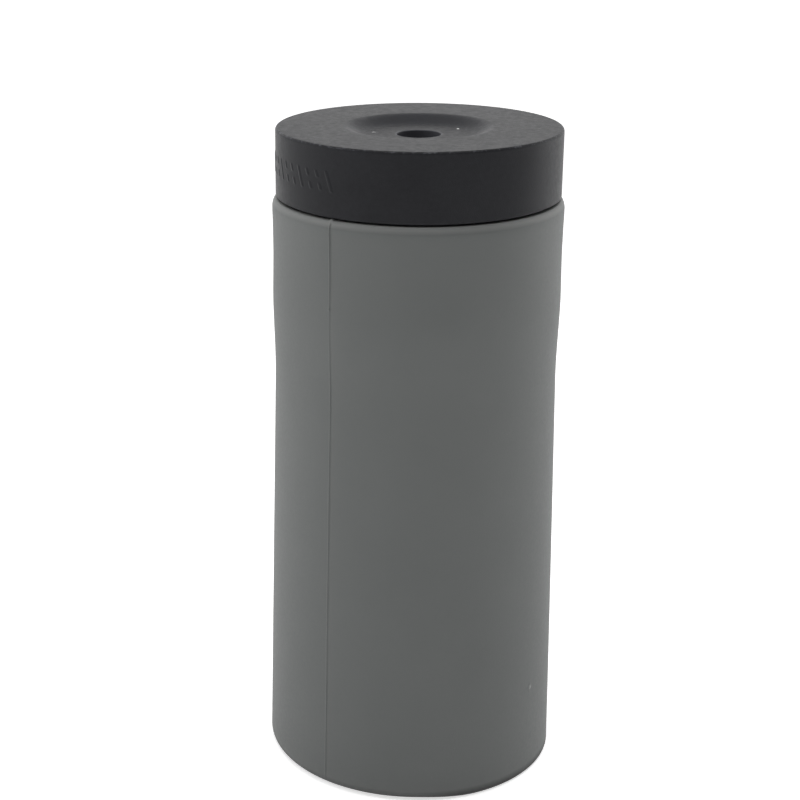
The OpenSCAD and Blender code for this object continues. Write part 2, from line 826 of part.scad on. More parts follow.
// One fin: narrow at the top, wide at the bottom, with two water slots.
module fin() {
    fin_t = 2.4;
    low = agitator_low + 2;
    high = agitator_top - 14;
    outline = concat(
        [[4, low], [agitator_r - 1.6, low]],
        ease([agitator_r - 1.6, low + 30], [12, high - 12], 10),
        arc([9, high - 4], 3, 0, 90, 4),
        [[4, high]]);
    rotate([90, 0, 0]) translate([0, 0, -fin_t / 2])
        linear_extrude(fin_t) difference() {
            polygon(outline);
            translate([15, low + 22]) rotate(90) slot_2d(24, 6);
            translate([13, low + 52]) rotate(90) slot_2d(20, 5);
        }
}

module agitator_screw() {
    color("silver")
        translate([0, 0, agitator_top - 6]) rotate([0, 90, 0])
            difference() {
                translate([0, 0, shaft_r - 0.48]) cylinder(r = 1.5, h = 4.6);
                translate([0, 0, 5.2]) cylinder(r = 0.8, h = 4, $fn = 6);
            }
}

// ---------------------------------------------------------------- nodes

tub();
top_cover();
plug_housing();
cover_seal();
plug_rings();
cover_screws();
well_plugs();
gear_plate();
plate_screws();
motor_can();
motor_magnets();
motor_end_cap();
motor_terminals();
motor_screws();
armature();
pinion();
idler_pin();
idler_gear();
output_shaft();
output_gear();
shaft_clip();
upper_bush();
lower_bearing();
shaft_seal();
agitator();
agitator_screw();
battery_cells();
battery_cradle();
cell_contacts();
control_board();
board_chips();
capacitor();
board_screws();
usb_socket();
charge_lamp();
tact_switch();
switch_plunger();
button_guide();
button_spring();
power_button();
port_door();
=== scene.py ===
import bmesh
import bpy
import math
import numpy as np
from mathutils import Matrix, Vector


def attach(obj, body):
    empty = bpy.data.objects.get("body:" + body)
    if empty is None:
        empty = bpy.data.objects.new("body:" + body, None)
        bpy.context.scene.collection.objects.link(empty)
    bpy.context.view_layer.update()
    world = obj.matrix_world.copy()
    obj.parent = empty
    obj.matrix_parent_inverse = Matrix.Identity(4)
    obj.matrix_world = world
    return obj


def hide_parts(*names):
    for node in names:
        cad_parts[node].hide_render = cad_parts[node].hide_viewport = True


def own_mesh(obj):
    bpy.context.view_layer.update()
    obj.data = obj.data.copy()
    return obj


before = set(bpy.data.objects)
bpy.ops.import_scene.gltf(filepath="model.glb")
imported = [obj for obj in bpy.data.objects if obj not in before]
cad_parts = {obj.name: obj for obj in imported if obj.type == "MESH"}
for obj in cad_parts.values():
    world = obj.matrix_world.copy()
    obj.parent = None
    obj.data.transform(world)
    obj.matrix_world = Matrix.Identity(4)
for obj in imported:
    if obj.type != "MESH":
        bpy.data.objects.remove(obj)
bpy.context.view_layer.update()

# ------------------------------------------------------------------ sizes, in mm, as in the CAD source
MM = 0.001
COVER_R = 45.0
TOTAL_H = 212.0
COVER_Z = 190.75
LIP_Z = 189.9
BAND_R = 46.0
WAIST_R = 45.5
LIP_R = 46.1
FOOT_R = 47.82                # a hair inside the CAD mesh
FOOT_ROUND = 3.0
TUB_WALL = 3.0
TUB_FLOOR = 3.6
BAND_INNER_R = BAND_R - TUB_WALL
DISH_Z = 209.4
DISH_R = 24.0
HOLE_R = 6.85
COVER_T = 2.4
REBATE_R = 44.2
COVER_INNER_R = 42.8
SEAL_TOP_Z = 192.55
RIDGE_AT = 235.4              # direction of the mould's parting line, in degrees
PORT_Z = 197.78
HINGE_Y, HINGE_Z = 43.4, 194.8                # the port door's hinge line, which runs along x
NUB_Z = 162.5                 # a nub on the parting line
PIP_AT, PIP_Z = -33.2, 31.0   # a moulding pip low on the tub's right: direction in degrees, and height
PIP_PLACE = (39.6, -25.9, PIP_Z)              # the pip on the tub's outside
FILL_MARKS = (LIP_Z - 69.6, LIP_Z - 109.6)    # heights of the fill marks inside the tub
FOOT_RING_R = 31.4            # inner radius of the ring that the tub stands on
BUTTON_TOP = DISH_Z - 3.0
FLANGE_LOW = DISH_Z - 7.0     # underside of the button's flange
BOARD_TOP = 196.15


# ------------------------------------------------------------------ profiles

def arc(cx, cz, r, start, end, steps):
    return [(cx + r * math.cos(math.radians(start + (end - start) * i / steps)),
             cz + r * math.sin(math.radians(start + (end - start) * i / steps)))
            for i in range(steps + 1)]


def line(a, b, steps):
    return [(a[0] + (b[0] - a[0]) * i / steps, a[1] + (b[1] - a[1]) * i / steps)
            for i in range(steps + 1)]


def ease(a, b, steps):
    """From a to b, with r eased at both ends and z even."""
    out = []
    for i in range(steps + 1):
        t = i / steps
        out.append((a[0] + (b[0] - a[0]) * t * t * (3 - 2 * t), a[1] + (b[1] - a[1]) * t))
    return out


def ease_z(a, b, steps):
    """From a to b, with z eased at both ends and r even."""
    return [(r, z) for z, r in ease((a[1], a[0]), (b[1], b[0]), steps)]


def tidy(points, gap=0.004):
    """The same outline without repeated points."""
    out = [points[0]]
    for p in points[1:]:
        if math.dist(p, out[-1]) > gap:
            out.append(p)
    return out


# ------------------------------------------------------------------ meshes

def make_object(name, verts, faces, smooth_deg=38):
    mesh = bpy.data.meshes.new(name)
    mesh.from_pydata([tuple(v) for v in verts], [], faces)
    mesh.validate()
    mesh.shade_smooth()
    mesh.set_sharp_from_angle(angle=math.radians(smooth_deg))
    obj = bpy.data.objects.new(name, mesh)
    bpy.context.scene.collection.objects.link(obj)
    return obj


def spun(body, angles, shape):
    """The outline's points turned round the z axis, in mm. shape moves them in r and z."""
    a = np.radians(np.array(angles))
    r, ang = np.meshgrid(body[:, 0], a, indexing="ij")
    z = np.meshgrid(body[:, 1], a, indexing="ij")[0]
    if shape is not None:
        dr, dz = shape(r, z, np.degrees(ang))
        r, z = r + dr, z + dz
    return np.stack([r * np.cos(ang), r * np.sin(ang), z], -1).reshape(-1, 3)


def lathe(name, profile, angles, shape=None, smooth_deg=38):
    """Turns a profile that starts and ends on the axis."""
    profile = tidy(profile)
    body = np.array([p for p in profile if p[0] > 1e-6])
    low, high = profile[0][1], profile[-1][1]
    verts = np.vstack([spun(body, angles, shape), [[0, 0, low], [0, 0, high]]]) * MM
    rows, cols = len(body), len(angles)
    faces = []
    for i in range(rows - 1):
        for j in range(cols):
            k = (j + 1) % cols
            faces.append((i * cols + j, i * cols + k, (i + 1) * cols + k, (i + 1) * cols + j))
    bottom, top = rows * cols, rows * cols + 1
    last = (rows - 1) * cols
    for j in range(cols):
        k = (j + 1) % cols
        faces.append((bottom, k, j))
        faces.append((top, last + j, last + k))
    return make_object(name, verts, faces, smooth_deg)


def even_angles(count, centres=(), near=(), reach=1.4):
    """Even directions round the circle, with finer ones near each centre."""
    base = [360 * i / count for i in range(count)]
    far = [a for a in base if all(abs((a - c + 180) % 360 - 180) > reach for c in centres)]
    fine = [(c + n) % 360 for c in centres for n in near]
    return sorted(set(round(a, 5) for a in far + fine))


def ring_lathe(name, profile, angles, shape=None, smooth_deg=38):
    """Turns a closed outline that doesn't meet the axis."""
    body = np.array(tidy(profile))
    verts = spun(body, angles, shape) * MM
    rows, cols = len(body), len(angles)
    faces = []
    for i in range(rows):
        n = (i + 1) % rows
        for j in range(cols):
            k = (j + 1) % cols
            faces.append((i * cols + j, n * cols + j, n * cols + k, i * cols + k))
    return make_object(name, verts, faces, smooth_deg)


def box_mesh(name, low, high, edge=0.0, steps=3):
    """A box with rounded edges, from its two corners in mm."""
    bm = bmesh.new()
    bmesh.ops.create_cube(bm, size=1.0)
    size = [h - l for l, h in zip(low, high)]
    mid = [(h + l) / 2 for l, h in zip(low, high)]
    for v in bm.verts:
        v.co = Vector([(m + c * s) * MM for m, c, s in zip(mid, v.co, size)])
    if edge:
        bmesh.ops.bevel(bm, geom=bm.edges[:], offset=edge * MM, segments=steps, affect="EDGES", profile=0.5)
    mesh = bpy.data.meshes.new(name)
    bm.to_mesh(mesh)
    bm.free()
    obj = bpy.data.objects.new(name, mesh)
    bpy.context.scene.collection.objects.link(obj)
    return obj


def prism(name, outline, y_low, y_high):
    """A prism along y, with its outline in x and z."""
    n = len(outline)
    verts = [(x * MM, y * MM, z * MM) for y in (y_low, y_high) for x, z in outline]
    faces = [(i, i + n, (i + 1) % n + n, (i + 1) % n) for i in range(n)]
    faces += [tuple(range(n)), tuple(range(2 * n - 1, n - 1, -1))]
    return make_object(name, verts, faces)


def slot_prism(name, centre, length, width, y_low, y_high, steps=16):
    """A slot with round ends, long along x, running along y."""
    x, z = centre
    half = (length - width) / 2
    outline = arc(x + half, z, width / 2, -90, 90, steps) + arc(x - half, z, width / 2, 90, 270, steps)
    return prism(name, outline, y_low, y_high)


def rod(name, start, along, radius, length, steps=32):
    """A plain round rod, used to cut holes."""
    turn = Vector(along).normalized().to_track_quat("Z", "Y").to_matrix()
    verts = []
    for h in (0, length):
        for i in range(steps):
            t = 2 * math.pi * i / steps
            p = turn @ Vector((radius * math.cos(t), radius * math.sin(t), h)) + Vector(start)
            verts.append(p * MM)
    faces = [(i, (i + 1) % steps, (i + 1) % steps + steps, i + steps) for i in range(steps)]
    faces += [tuple(range(steps - 1, -1, -1)), tuple(range(steps, 2 * steps))]
    return make_object(name, verts, faces)


def combine(target, others, operation):
    """Joins or cuts with exact booleans, and leaves one plain mesh."""
    for other in others:
        m = target.modifiers.new("join", "BOOLEAN")
        m.operation, m.solver, m.object = operation, "EXACT", other
    graph = bpy.context.evaluated_depsgraph_get()
    made = bpy.data.meshes.new_from_object(target.evaluated_get(graph))
    target.modifiers.clear()
    target.data = made
    for other in others:
        bpy.data.objects.remove(other)


def finish_piece(obj, material, replaced, body, sharp_deg=32):
    obj.data.shade_smooth()
    obj.data.set_sharp_from_angle(angle=math.radians(sharp_deg))
    weigh = obj.modifiers.new("even_shading", "WEIGHTED_NORMAL")
    weigh.keep_sharp = True
    obj.data.materials.clear()
    obj.data.materials.append(material)
    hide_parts(replaced)
    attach(obj, body)


def round_edges(obj, width_mm, min_deg=50, segments=3):
    """Rounds every edge that is sharper than min_deg."""
    m = obj.modifiers.new("rounding", "BEVEL")
    m.limit_method, m.angle_limit = "ANGLE", math.radians(min_deg)
    m.width, m.segments = width_mm * MM, segments
    graph = bpy.context.evaluated_depsgraph_get()
    made = bpy.data.meshes.new_from_object(obj.evaluated_get(graph))
    obj.modifiers.clear()
    obj.data = made


# ------------------------------------------------------------------ materials

def node(tree, kind, inputs=None, **settings):
    n = tree.nodes.new(kind)
    for key, value in settings.items():
        setattr(n, key, value)
    for key, value in (inputs or {}).items():
        if isinstance(value, bpy.types.NodeSocket):
            tree.links.new(value, n.inputs[key])
        else:
            n.inputs[key].default_value = value
    return n


class Finish:
    """A Principled material with its colour, roughness and bump built from object-space noise."""

    def __init__(self, name, roughness=0.5, metallic=0.0, **sockets):
        self.mat = bpy.data.materials.new(name)
        self.mat.use_nodes = True
        self.tree = self.mat.node_tree
        self.tree.nodes.clear()
        out = node(self.tree, "ShaderNodeOutputMaterial")
        self.shader = node(self.tree, "ShaderNodeBsdfPrincipled")
        self.tree.links.new(self.shader.outputs[0], out.inputs[0])
        self.shader.inputs["Roughness"].default_value = roughness
        self.shader.inputs["Metallic"].default_value = metallic
        for key, value in sockets.items():
            self.shader.inputs[key.replace("_", " ")].default_value = value
        self.place = node(self.tree, "ShaderNodeTexCoord").outputs["Object"]

    def stretched(self, scale):
        return node(self.tree, "ShaderNodeMapping", {"Vector": self.place, "Scale": scale}).outputs[0]

    def noise(self, size_mm, detail=2.0, rough=0.5, where=None):
        return node(self.tree, "ShaderNodeTexNoise",
                    {"Vector": where or self.place, "Scale": 1000.0 / size_mm,
                     "Detail": detail, "Roughness": rough}).outputs["Fac"]

    def cells(self, size_mm):
        return node(self.tree, "ShaderNodeTexVoronoi",
                    {"Vector": self.place, "Scale": 1000.0 / size_mm}, feature="F1").outputs["Distance"]

    def remap(self, value, low, high, to_low, to_high):
        return node(self.tree, "ShaderNodeMapRange",
                    {"Value": value, "From Min": low, "From Max": high,
                     "To Min": to_low, "To Max": to_high}).outputs[0]

    def calc(self, op, a, b=0.0):
        return node(self.tree, "ShaderNodeMath", {0: a, 1: b}, operation=op).outputs[0]

    def mix(self, factor, a, b):
        n = node(self.tree, "ShaderNodeMix", data_type="RGBA")
        for socket, value in ((n.inputs[0], factor), (n.inputs[6], a), (n.inputs[7], b)):
            if isinstance(value, bpy.types.NodeSocket):
                self.tree.links.new(value, socket)
            else:
                socket.default_value = value if isinstance(value, float) else (*value[:3], 1.0)
        return n.outputs[2]

    def distance(self, place_mm):
        """Distance to a point, in metres."""
        return node(self.tree, "ShaderNodeVectorMath", {0: self.place, 1: Vector(place_mm) * MM},
                    operation="DISTANCE").outputs["Value"]

    def reach(self):
        """Distance from the z axis, in metres."""
        plan = node(self.tree, "ShaderNodeVectorMath", {0: self.place, 1: (1, 1, 0)}, operation="MULTIPLY")
        return node(self.tree, "ShaderNodeVectorMath", {0: plan.outputs[0]},
                    operation="LENGTH").outputs["Value"]

    def edges(self, radius_mm):
        """Near 1 on edges that a finger would wear, and 0 on open faces."""
        rounded = node(self.tree, "ShaderNodeBevel", {"Radius": radius_mm * MM}, samples=4).outputs[0]
        plain = node(self.tree, "ShaderNodeNewGeometry").outputs["Normal"]
        dot = node(self.tree, "ShaderNodeVectorMath", {0: rounded, 1: plain},
                   operation="DOT_PRODUCT").outputs["Value"]
        return self.remap(dot, 0.99, 0.80, 0.0, 1.0)

    def set(self, socket, value):
        self.tree.links.new(value, self.shader.inputs[socket])

    def bump(self, *layers, soft_mm=None):
        """Each layer is (height, depth in mm). soft_mm rounds hard edges in the shading."""
        normal = None
        if soft_mm:
            normal = node(self.tree, "ShaderNodeBevel", {"Radius": soft_mm * MM}, samples=4).outputs[0]
        for height, depth_mm in layers:
            inputs = {"Height": height, "Distance": depth_mm * MM, "Strength": 1.0}
            if normal is not None:
                inputs["Normal"] = normal
            normal = node(self.tree, "ShaderNodeBump", inputs).outputs[0]
        self.set("Normal", normal)


def tint(color, k):
    return tuple(min(1.0, c * k) for c in color)


def moulded(name, color, rough=0.55, grain_mm=0.35, grain_depth=0.02, vary=0.10, wear=0.35,
            soft_mm=0.2, painted_light_and_wear_rings=(), painted_glints_and_scuffs=(), **sockets):
    """Moulded plastic or rubber: spark texture, slight flow marks, and paler worn edges.

    The ring list gives rings round the z axis that are painted paler, some as painted light and some as
    rubbed wear, each as (inner radius, outer radius, softness, tint, whether it is broken up) in mm.
    The patch list gives pale patches, some painted glints and some scratches, each as (centre, radius,
    tint)."""
    f = Finish(name, rough, **sockets)
    broad = f.noise(24.0, 3.0)
    fine = f.noise(1.6, 4.0, 0.6)
    both = f.calc("ADD", f.calc("MULTIPLY", broad, 0.6), f.calc("MULTIPLY", fine, 0.4))
    base = f.mix(f.remap(both, 0.35, 0.65, 0.0, 1.0), tint(color, 1 - vary), tint(color, 1 + vary))
    patchy = f.remap(f.noise(2.4, 3.0, 0.6), 0.40, 0.62, wear * 0.25, wear * 1.6)
    base = f.mix(f.calc("MULTIPLY", f.edges(0.35), patchy), base, tint(color, 1.7))
    # rings painted paler: painted light on some, rubbed wear on others
    for inner, outer, soft, k, broken in painted_light_and_wear_rings:
        reach = f.reach()
        rise = f.remap(reach, (inner - soft) * MM, inner * MM, 0.0, 1.0)
        fall = f.remap(reach, outer * MM, (outer + soft) * MM, 1.0, 0.0)
        ring = f.calc("MULTIPLY", rise, fall)
        if broken:
            ring = f.calc("MULTIPLY", ring, f.remap(f.noise(2.2, 4.0, 0.75), 0.50, 0.60, 0.0, 1.0))
        base = f.mix(ring, base, tint(color, k))
    # pale patches: painted glints on some, scratches on others
    for centre, radius, k in painted_glints_and_scuffs:
        patch = f.remap(f.distance(centre), radius * 0.3 * MM, radius * MM, 1.0, 0.0)
        marks = f.remap(f.noise(0.9, 3.0, 0.7), 0.56, 0.64, 0.0, 1.0)
        base = f.mix(f.calc("MULTIPLY", patch, marks), base, tint(color, k))
    f.set("Base Color", base)
    f.set("Roughness", f.remap(fine, 0.3, 0.7, rough - 0.05, rough + 0.06))
    pits = f.noise(grain_mm * 0.6, 3.0, 0.7)
    f.bump((f.cells(grain_mm), grain_depth), (pits, grain_depth * 0.7), soft_mm=soft_mm)
    return f.mat


def metal(name, color, rough=0.3, stretch=(1, 1, 14), scratch_mm=0.5, depth=0.004, stain=0.12,
          soft_mm=0.12):
    """Metal with fine drawn or ground lines along one direction and faint staining."""
    f = Finish(name, rough, 1.0)
    where = f.stretched(stretch)
    lines = f.noise(scratch_mm, 4.0, 0.7, where)
    cloud = f.noise(9.0, 3.0)
    clouding = f.remap(cloud, 0.3, 0.7, 0.0, 1.0)
    base = f.mix(clouding, tint(color, 1 - stain), tint(color, 1 + stain * 0.5))
    f.set("Base Color", f.mix(f.calc("MULTIPLY", f.edges(0.25), 0.5), base, tint(color, 1.25)))
    f.set("Roughness", f.remap(f.calc("ADD", lines, cloud), 0.6, 1.4, rough - 0.08, rough + 0.14))
    f.bump((lines, depth), soft_mm=soft_mm)
    return f.mat


def paint_node(material, *names):
    for name in names:
        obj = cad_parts[name]
        obj.data.materials.clear()
        obj.data.materials.append(material)


# ------------------------------------------------------------------ camera, light and floor

CAMERA_DISTANCE = 584.88      # from the middle of the object
CAMERA_RISE = 20.0981         # how far above the level of the middle it stands, in degrees
CAMERA_YAW, CAMERA_PITCH, CAMERA_ROLL = -4.5796, 18.6868, -0.452
CAMERA_LENS, CAMERA_SHIFT_X = 79.0812, 0.1489


def make_camera():
    rise = math.radians(CAMERA_RISE)
    yaw = math.radians(CAMERA_YAW)
    pitch = math.radians(CAMERA_PITCH)
    roll = math.radians(CAMERA_ROLL)
    forward = Vector((math.sin(yaw) * math.cos(pitch), math.cos(yaw) * math.cos(pitch), -math.sin(pitch)))
    level = Vector((math.cos(yaw), -math.sin(yaw), 0))
    over = level.cross(forward)
    right = level * math.cos(roll) + over * math.sin(roll)
    up = -level * math.sin(roll) + over * math.cos(roll)
    data = bpy.data.cameras.new("camera")
    data.sensor_width = 36
    data.lens = CAMERA_LENS
    data.shift_x = CAMERA_SHIFT_X
    data.clip_start = 0.01
    data.clip_end = 50
    cam = bpy.data.objects.new("camera", data)
    bpy.context.scene.collection.objects.link(cam)
    back = -math.cos(rise) * CAMERA_DISTANCE * MM
    high = (TOTAL_H / 2 + math.sin(rise) * CAMERA_DISTANCE) * MM
    cam.matrix_world = Matrix((
        (right.x, up.x, -forward.x, 0),
        (right.y, up.y, -forward.y, back),
        (right.z, up.z, -forward.z, high),
        (0, 0, 0, 1)))
    bpy.context.scene.camera = cam


def softbox(name, place, aim, width, height, power):
    data = bpy.data.lights.new(name, "AREA")
    data.shape = "RECTANGLE"
    data.size = width
    data.size_y = height
    data.energy = power
    obj = bpy.data.objects.new(name, data)
    bpy.context.scene.collection.objects.link(obj)
    obj.location = place
    obj.rotation_euler = (Vector(aim) - Vector(place)).to_track_quat("-Z", "Y").to_euler()


def make_world():
    """Soft light that is brightest low at the back, with plain white behind for the camera."""
    world = bpy.data.worlds.new("studio")
    bpy.context.scene.world = world
    world.use_nodes = True
    tree = world.node_tree
    tree.nodes.clear()
    way = node(tree, "ShaderNodeTexCoord").outputs["Generated"]
    split = node(tree, "ShaderNodeSeparateXYZ", {0: way})
    back = node(tree, "ShaderNodeMapRange",
                {"Value": split.outputs[1], "From Min": -0.30, "From Max": 0.85, "To Min": 0.10,
                 "To Max": 1.30}, interpolation_type="SMOOTHSTEP")
    high = node(tree, "ShaderNodeMapRange",
                {"Value": split.outputs[2], "From Min": 0.25, "From Max": 0.75, "To Min": 1.0,
                 "To Max": 0.43}, interpolation_type="SMOOTHSTEP")
    level = node(tree, "ShaderNodeMath", {0: back.outputs[0], 1: high.outputs[0]}, operation="MULTIPLY")
    glow = node(tree, "ShaderNodeBackground", {"Color": (1, 1, 1, 1), "Strength": level.outputs[0]})
    plain = node(tree, "ShaderNodeBackground", {"Color": (1, 1, 1, 1), "Strength": 1.0})
    seen = node(tree, "ShaderNodeLightPath").outputs["Is Camera Ray"]
    both = node(tree, "ShaderNodeMixShader", {0: seen, 1: glow.outputs[0], 2: plain.outputs[0]})
    out = node(tree, "ShaderNodeOutputWorld")
    tree.links.new(both.outputs[0], out.inputs[0])


def make_floor():
    """A pale floor that glows a little, and a little more far off, so that it meets the white."""
    bpy.ops.mesh.primitive_plane_add(size=12, location=(0, 0, -0.0002))
    floor = bpy.context.object
    floor.name = "studio_floor"
    f = Finish("floor_paper", 0.9, Emission_Color=(1, 1, 1, 1))
    away = node(f.tree, "ShaderNodeVectorMath", {0: f.place}, operation="LENGTH").outputs["Value"]
    f.set("Emission Strength", f.remap(away, 0.8, 3.2, 0.62, 0.84))
    f.set("Base Color", f.mix(f.noise(60.0, 2.0), (0.90, 0.90, 0.90), (0.93, 0.93, 0.93)))
    floor.data.materials.append(f.mat)


def make_lights():
    softbox("key_left", (-1.10, -0.10, 0.68), (0, 0, 0.13), 0.6, 1.0, 3.8)
    softbox("rim_right", (0.95, 0.50, 0.36), (0, 0, 0.11), 0.35, 0.9, 2.3)
    softbox("top", (0.0, -0.05, 1.6), (0, 0, 0.1), 1.2, 1.2, 13.4)


# ------------------------------------------------------------------ the tub

def tub_profile():
    foot_edge = arc(FOOT_R - FOOT_ROUND, FOOT_ROUND, FOOT_ROUND, -90, 0, 12)
    outer = (foot_edge
             + line((FOOT_R, FOOT_ROUND), (WAIST_R, LIP_Z - 58), 60)
             + ease((WAIST_R, LIP_Z - 56), (BAND_R, LIP_Z - 34), 16)
             + line((BAND_R, LIP_Z - 34), (BAND_R, LIP_Z - 10), 24)
             + ease((BAND_R, LIP_Z - 9), (LIP_R, LIP_Z - 3.6), 8)
             + [(LIP_R - 1.7 + 1.7 * c, LIP_Z - 3.0 + 3.0 * s) for c, s in arc(0, 0, 1, 0, 90, 10)])
    inner = (arc(BAND_INNER_R + 0.6, LIP_Z - 0.6, 0.6, 90, 180, 5)
             + line((BAND_INNER_R, LIP_Z - 1), (BAND_INNER_R, LIP_Z - 36), 14)
             + ease((BAND_INNER_R, LIP_Z - 36), (WAIST_R - TUB_WALL, LIP_Z - 58), 12)
             + line((WAIST_R - TUB_WALL, LIP_Z - 58), (FOOT_R - TUB_WALL, TUB_FLOOR + FOOT_ROUND), 50)
             + arc(FOOT_R - TUB_WALL - FOOT_ROUND, TUB_FLOOR + FOOT_ROUND, FOOT_ROUND, 0, -90, 8))
    foot = [(0, 0.8)] + line((4, 0.8), (29.6, 0.8), 8) + [(30.2, 0.65), (30.8, 0.12), (FOOT_RING_R, 0.0)]
    return foot + outer + inner + line((34, TUB_FLOOR), (2, TUB_FLOOR), 8) + [(0, TUB_FLOOR)]


def wall_mid(z):
    """Radius halfway through the tub's wall at height z."""
    heights = [0, LIP_Z - 57, LIP_Z - 34, LIP_Z]
    return np.interp(z, heights, [FOOT_R, WAIST_R, BAND_R, BAND_R]) - TUB_WALL / 2


def turned(ang, centre):
    """The signed angle from centre to ang, in degrees between -180 and 180."""
    return (ang - centre + 180) % 360 - 180


def unevenness(z, rad):
    """The outer wall's soft sway, with a slight swell and a slight hollow near the band."""
    sway = 0.05 * np.sin(2 * rad + 0.7) * np.sin(z / 31.0) + 0.04 * np.sin(3 * rad + z / 44.0)
    swell = 0.10 * np.exp(-((z - (LIP_Z - 32)) / 5.5) ** 2)
    hollow = 0.10 * np.exp(-((z - (LIP_Z - 17)) / 6.5) ** 2)
    return sway + (swell - hollow)


def parting_line(r, z, ang, centre):
    """How far the parting line's flash and nub stand out, and how far its spur rises at the lip."""
    arc_mm = np.radians(turned(ang, centre)) * r
    tall = 0.16 + 0.12 * np.exp(-((LIP_Z - z) / 24.0) ** 2)
    tall = tall * (1 + 0.25 * np.sin(z / 3.7 + centre) * np.sin(z / 9.1))
    tall = tall * (1 - 0.55 * np.exp(-((z - 157) / 13.0) ** 2))
    flash = tall * np.exp(-(arc_mm / 0.24) ** 2) - 0.12 * np.exp(-((arc_mm - 0.55) / 0.26) ** 2)
    nub = 0.28 * np.exp(-((arc_mm / 0.35) ** 2 + ((z - NUB_Z) / 0.45) ** 2))
    spur = 0.5 * np.exp(-(arc_mm / 0.5) ** 2) * (z > LIP_Z - 0.4) * (np.abs(r - (LIP_R - 1.3)) < 0.9)
    return flash + nub, spur


def crisp_foot(r, z, ang):
    """Sharpens the foot's rounded edge on the right, and lowers the wall above it to match."""
    turn = turned(ang, 0)
    crisp = np.clip((turn + 88) / 26, 0, 1) * np.clip((60 - turn) / 40, 0, 1)
    crisp = 2.0 * crisp * crisp * (3 - 2 * crisp)
    foot = (z < FOOT_ROUND + 0.01) & (r > FOOT_RING_R)
    ring = np.clip((r - FOOT_RING_R) / (FOOT_R - FOOT_ROUND - FOOT_RING_R), 0, 1)
    out = foot * crisp * np.clip((FOOT_R - r) / FOOT_ROUND, 0, 1) * ring
    fade = np.clip(z / FOOT_ROUND, 0, 1) * np.clip(1 - (z - FOOT_ROUND) / 17, 0, 1)
    down = (foot | (r > wall_mid(z))) * crisp * fade
    return out, down


def tub_shape(r, z, ang):
    """Soft unevenness, the parting line's flash, the pip, the crisper foot and the fill marks."""
    outside = (r > wall_mid(z)) & (z > 1.0)
    along = np.clip((z - 8) / 12, 0, 1) * np.clip((LIP_Z + 0.3 - z) / 1.5, 0, 1)
    dr = outside * along * unevenness(z, np.radians(ang))
    dz = np.zeros_like(r)
    for centre, side in ((RIDGE_AT, 1.0), (RIDGE_AT - 180, 0.8)):
        out, spur = parting_line(r, z, ang, centre)
        dr += outside * np.clip((z - 1.5) / 3, 0, 1) * side * out * (z < LIP_Z - 0.6)
        dz += side * spur
    pip = np.radians(turned(ang, PIP_AT)) * r
    dr += outside * 0.32 * np.exp(-((pip / 0.62) ** 2 + ((z - PIP_Z) / 0.62) ** 2))
    out, down = crisp_foot(r, z, ang)
    dr += out
    dz -= down
    marks = np.zeros_like(r, bool)
    for height in FILL_MARKS:
        marks |= np.abs(z - height) < 0.55
    around = np.minimum(np.abs(turned(ang, 0)), np.abs(ang - 180)) < 20
    dr -= (r < wall_mid(z)) * (z > 20) * marks * around * 0.5
    return dr, dz


def finer_rows(profile):
    """The tub's profile with more points at the fill marks, the pip and the nub."""
    out = []
    for a, b in zip(profile, profile[1:]):
        out.append(a)
        rows = []
        if a[0] < wall_mid(a[1]) and a[1] - b[1] > 1.2 and a[1] > 60:
            steps = (0.9, 0.56, 0.54, 0.4, 0.0, -0.4, -0.54, -0.56, -0.9)
            rows = [mark + off for mark in FILL_MARKS for off in steps]
        elif a[0] > wall_mid(a[1]) and b[1] > a[1]:
            steps = (-0.8, -0.5, -0.25, 0.0, 0.25, 0.5, 0.8)
            rows = [mark + off for mark in (PIP_Z, NUB_Z) for off in steps]
        for height in rows:
            t = (height - a[1]) / (b[1] - a[1])
            if 0 < t < 1:
                out.append((a[0] + (b[0] - a[0]) * t, height))
    return out + [profile[-1]]


SILICONE_DARK, SILICONE_PALE = (0.1110, 0.1176, 0.1147), (0.1182, 0.1247, 0.1216)


def silicone():
    """Matt grey silicone with soft clouding and specks of dust, darker towards the bottom, with painted
    shade along the foot's lower edge and painted highlights on the lip and the pip.
    """
    f = Finish("silicone_grey", 0.62)
    broad, fine_noise = f.noise(30.0, 3.0), f.noise(1.1, 4.0, 0.65)
    both = f.calc("ADD", f.calc("MULTIPLY", broad, 0.65), f.calc("MULTIPLY", fine_noise, 0.35))
    base = f.mix(f.remap(both, 0.38, 0.62, 0.0, 1.0), SILICONE_DARK, SILICONE_PALE)
    dust = f.remap(f.cells(2.6), 0.0, 0.06, 1.0, 0.0)
    gate = f.remap(f.noise(19.0, 1.0), 0.60, 0.66, 0.0, 0.35)
    base = f.mix(f.calc("MULTIPLY", dust, gate), base, (0.30, 0.30, 0.29))
    height = node(f.tree, "ShaderNodeSeparateXYZ", {0: f.place}).outputs[2]
    base = f.mix(f.remap(height, 0.0, 0.115, 0.18, 0.0), base, (0.03, 0.032, 0.031))
    # painted shade along the foot's lower edge, where it meets the floor
    base = f.mix(f.remap(height, 0.0012, 0.0032, 0.92, 0.0), base, (0.02, 0.02, 0.02))
    # painted highlight on the lip's rounding
    lip_highlight = f.remap(height, (LIP_Z - 2.2) * MM, (LIP_Z - 0.9) * MM, 0.0, 0.55)
    base = f.mix(lip_highlight, base, (0.26, 0.265, 0.26))
    # painted highlight on the pip
    from_pip = f.distance(PIP_PLACE)
    base = f.mix(f.remap(from_pip, 0.0003, 0.0009, 0.6, 0.0), base, (0.34, 0.345, 0.34))
    f.set("Base Color", f.mix(f.calc("MULTIPLY", f.edges(0.4), 0.5), base, (0.22, 0.225, 0.22)))
    f.set("Roughness", f.remap(fine_noise, 0.3, 0.7, 0.56, 0.70))
    f.bump((f.cells(0.42), 0.012), (f.noise(0.2, 3.0, 0.7), 0.010))
    return f.mat


